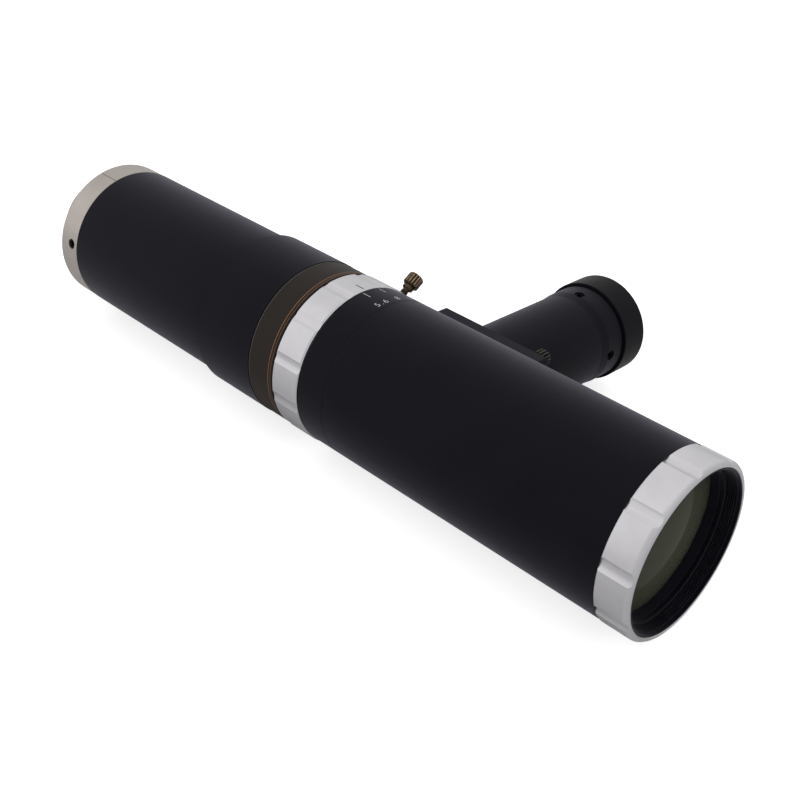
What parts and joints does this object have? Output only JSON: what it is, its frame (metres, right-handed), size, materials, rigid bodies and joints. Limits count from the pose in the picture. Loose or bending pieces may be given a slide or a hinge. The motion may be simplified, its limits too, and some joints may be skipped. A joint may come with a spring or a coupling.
{
  "type": "machine vision lens",
  "caption": "Long telecentric machine vision lens: black barrels, fluted silver aperture and front rings, iris, camera nose and a capped side tube for coaxial light.",
  "frame": {"origin": "centre of the rear face of the silver camera ring, where the camera seats", "axes": "+X along the optical axis towards the object, +Y along the side tube away from the barrel, +Z square to both"},
  "size_m": [0.2953, 0.1309, 0.0606],
  "materials": {
    "satin_nickel": "fine bead-blasted, satin",
    "satin_aluminium": "satin silver",
    "black_anodised": "matt black anodised",
    "black_inner": "flat black anodised",
    "label_brown": "very dark brown anodised",
    "black_steel": "blackened",
    "blade_steel": "blackened spring steel",
    "bright_steel": "ground",
    "thumbscrew_bronze": "dark bronze plating",
    "brass_ring": "turned",
    "pad_nylon": "natural nylon",
    "coated_glass": "green coated",
    "inner_glass": "clear coated",
    "frosted_glass": "ground",
    "cap_plastic": "smooth matt black"
  },
  "bodies": {
    "lens_body": {"rear_ring": "satin_nickel", "mount_set_screws": "black_steel", "rear_barrel": "black_anodised", "middle_barrel": "black_anodised", "label_ring": "label_brown", "field_lens_cell": "black_inner", "field_lens": "inner_glass", "field_lens_retainer": "black_inner", "rear_lens_cell": "black_inner", "rear_lens": "inner_glass", "rear_lens_spacer": "black_inner", "rear_inner_lens": "inner_glass", "rear_lens_retainer": "black_inner", "iris_housing": "black_inner", "iris_retaining_ring": "black_inner", "relay_lens_cell": "black_inner", "relay_lens": "inner_glass", "relay_lens_retainer": "black_inner", "scale_band": "black_anodised", "front_barrel": "black_anodised", "front_ring": "satin_aluminium", "filter_ring": "black_inner", "front_lens": "coated_glass", "front_lens_spacer": "black_inner", "front_inner_lens": "inner_glass", "front_lens_retainer": "black_inner", "beamsplitter_holder": "black_inner", "beamsplitter_plate": "inner_glass", "beamsplitter_clips": "bright_steel", "beamsplitter_screws": "black_steel", "port_flange": "black_anodised", "flange_screws": "black_steel", "illumination_tube": "black_anodised", "tube_set_screws": "black_steel", "condenser_lens": "inner_glass", "condenser_spacer": "black_inner", "light_diffuser": "frosted_glass", "diffuser_retainer": "black_inner", "port_lock_pad": "pad_nylon"},
    "camera_nose": {"mount_adapter": "black_anodised"},
    "aperture_ring": {"aperture_ring": "satin_aluminium", "aperture_drive_pin": "bright_steel", "iris_drive_ring": "brass_ring", "aperture_lock_pad": "pad_nylon"},
    "aperture_lock_screw": {"aperture_lock_screw": "thumbscrew_bronze"},
    "port_lock_screw": {"port_lock_screw": "thumbscrew_bronze"},
    "end_cap": {"end_cap": "cap_plastic"},
    "iris_blade_1": {"iris_blade_1": "blade_steel"},
    "iris_blade_2": {"iris_blade_2": "blade_steel"},
    "iris_blade_3": {"iris_blade_3": "blade_steel"},
    "iris_blade_4": {"iris_blade_4": "blade_steel"},
    "iris_blade_5": {"iris_blade_5": "blade_steel"},
    "iris_blade_6": {"iris_blade_6": "blade_steel"}
  },
  "joints": [
    {"name": "camera_nose_turn", "type": "hinge", "parent": "lens_body", "child": "camera_nose", "pos_m": [0.0074, 0, 0], "axis": [-1, 0, 0], "continuous": true},
    {"name": "aperture_turn", "type": "hinge", "parent": "lens_body", "child": "aperture_ring", "pos_m": [0.14005, 0, 0], "axis": [-1, 0, 0], "range_deg": [-3.6, 55.2]},
    {"name": "iris_blade_1_pivot", "type": "hinge", "parent": "lens_body", "child": "iris_blade_1", "pos_m": [0.1369, 0.01926, -0.00956], "axis": [-1, 0, 0], "range_deg": [-1.8, 27.6]},
    {"name": "iris_blade_2_pivot", "type": "hinge", "parent": "lens_body", "child": "iris_blade_2", "pos_m": [0.1369, 0.01791, 0.0119], "axis": [-1, 0, 0], "range_deg": [-1.8, 27.6]},
    {"name": "iris_blade_3_pivot", "type": "hinge", "parent": "lens_body", "child": "iris_blade_3", "pos_m": [0.1369, -0.00135, 0.02146], "axis": [-1, 0, 0], "range_deg": [-1.8, 27.6]},
    {"name": "iris_blade_4_pivot", "type": "hinge", "parent": "lens_body", "child": "iris_blade_4", "pos_m": [0.1369, -0.01926, 0.00956], "axis": [-1, 0, 0], "range_deg": [-1.8, 27.6]},
    {"name": "iris_blade_5_pivot", "type": "hinge", "parent": "lens_body", "child": "iris_blade_5", "pos_m": [0.1369, -0.01791, -0.0119], "axis": [-1, 0, 0], "range_deg": [-1.8, 27.6]},
    {"name": "iris_blade_6_pivot", "type": "hinge", "parent": "lens_body", "child": "iris_blade_6", "pos_m": [0.1369, 0.00135, -0.02146], "axis": [-1, 0, 0], "range_deg": [-1.8, 27.6]},
    {"name": "aperture_lock_screw_turn", "type": "hinge", "parent": "aperture_ring", "child": "aperture_lock_screw", "pos_m": [0.14, 0.03173, 0.02181], "axis": [0, 0.8241, 0.5664], "range_deg": [0, 720]},
    {"name": "port_lock_screw_turn", "type": "hinge", "parent": "lens_body", "child": "port_lock_screw", "pos_m": [0.1981, 0.035, 0.0142], "axis": [0, 1, 0], "range_deg": [0, 720]},
    {"name": "end_cap_pull", "type": "slide", "parent": "lens_body", "child": "end_cap", "axis": [0, 1, 0], "range_m": [0, 0.06]}
  ],
  "couplings": [
    {"joint": "iris_blade_1_pivot", "follows": "aperture_turn", "ratio": 0.5},
    {"joint": "iris_blade_2_pivot", "follows": "aperture_turn", "ratio": 0.5},
    {"joint": "iris_blade_3_pivot", "follows": "aperture_turn", "ratio": 0.5},
    {"joint": "iris_blade_4_pivot", "follows": "aperture_turn", "ratio": 0.5},
    {"joint": "iris_blade_5_pivot", "follows": "aperture_turn", "ratio": 0.5},
    {"joint": "iris_blade_6_pivot", "follows": "aperture_turn", "ratio": 0.5}
  ]
}
